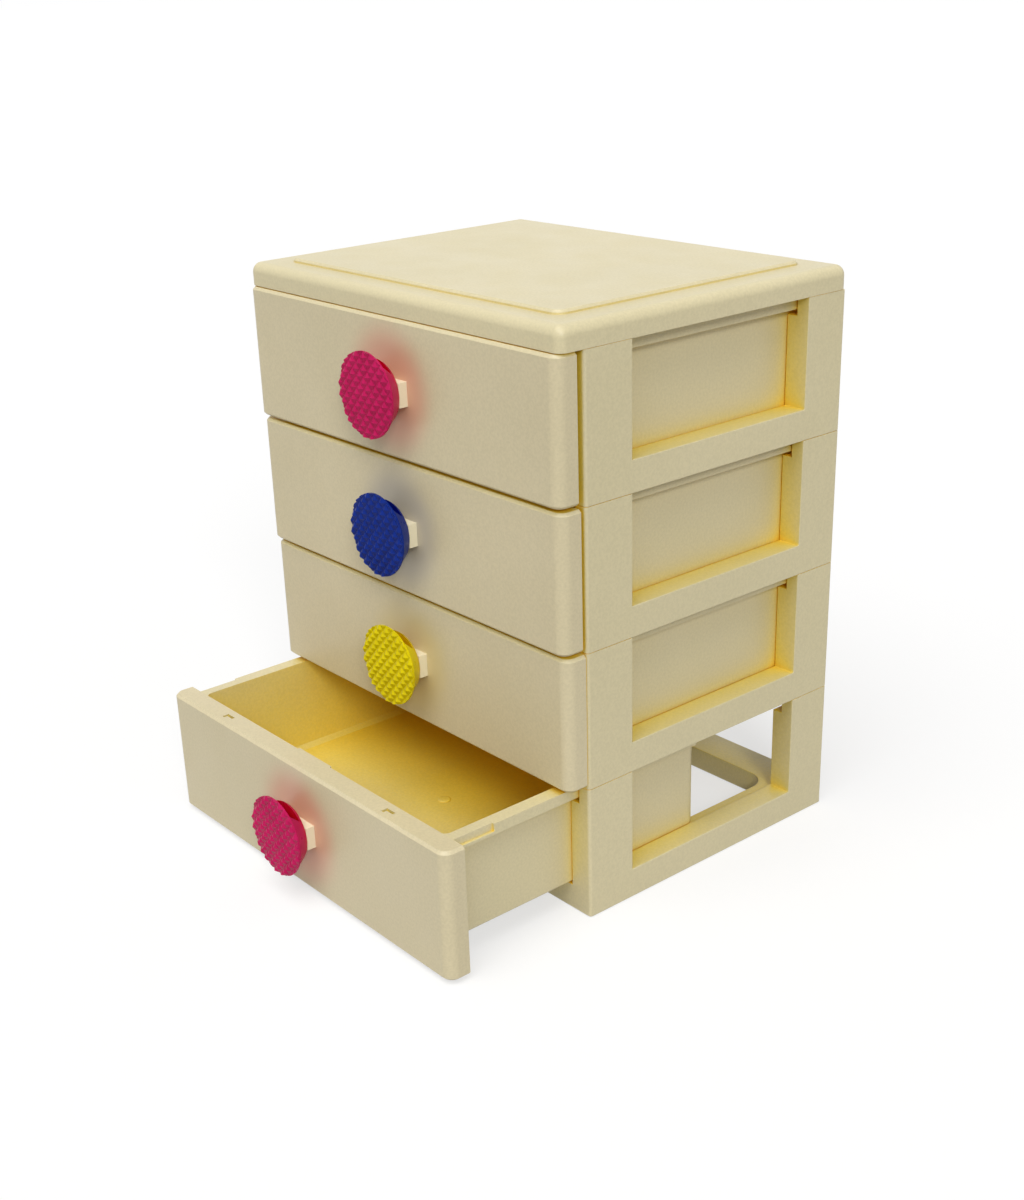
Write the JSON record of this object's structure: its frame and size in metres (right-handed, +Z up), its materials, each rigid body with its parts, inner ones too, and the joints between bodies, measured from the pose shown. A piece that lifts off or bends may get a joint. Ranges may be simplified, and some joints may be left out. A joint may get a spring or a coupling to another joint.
{
  "type": "desktop drawer unit",
  "caption": "Free-standing desk unit of stacked drawer tiers with open window sides and back, a lid with a raised panel, and drawers with hollow-backed fronts and round diamond-cut knobs.",
  "frame": {"origin": "on the floor under the middle of the post footprint", "axes": "+Z up, -Y the side the drawers open to, +X the unit's right-hand side as seen from the drawer fronts"},
  "size_m": [0.172, 0.1973, 0.2099],
  "materials": {
    "case": "satin",
    "drawer": "satin",
    "knob_pink": "gloss",
    "knob_blue": "gloss",
    "knob_yellow": "gloss"
  },
  "bodies": {
    "cabinet": {"top_cover": "case", "tier_frame_1": "case", "tier_frame_2": "case", "tier_frame_3": "case", "tier_frame_4": "case"},
    "drawer_1": {"drawer_box_1": "drawer", "drawer_front_1": "drawer", "knob_1": "knob_pink"},
    "drawer_2": {"drawer_box_2": "drawer", "drawer_front_2": "drawer", "knob_2": "knob_yellow"},
    "drawer_3": {"drawer_box_3": "drawer", "drawer_front_3": "drawer", "knob_3": "knob_blue"},
    "drawer_4": {"drawer_box_4": "drawer", "drawer_front_4": "drawer", "knob_4": "knob_pink"}
  },
  "joints": [
    {"name": "slide_1", "type": "slide", "parent": "cabinet", "child": "drawer_1", "axis": [0, -1, 0], "range_m": [-0.0534, 0.0316]},
    {"name": "slide_2", "type": "slide", "parent": "cabinet", "child": "drawer_2", "axis": [0, -1, 0], "range_m": [0, 0.085]},
    {"name": "slide_3", "type": "slide", "parent": "cabinet", "child": "drawer_3", "axis": [0, -1, 0], "range_m": [-0.0013, 0.0837]},
    {"name": "slide_4", "type": "slide", "parent": "cabinet", "child": "drawer_4", "axis": [0, -1, 0], "range_m": [-0.0022, 0.0828]}
  ]
}
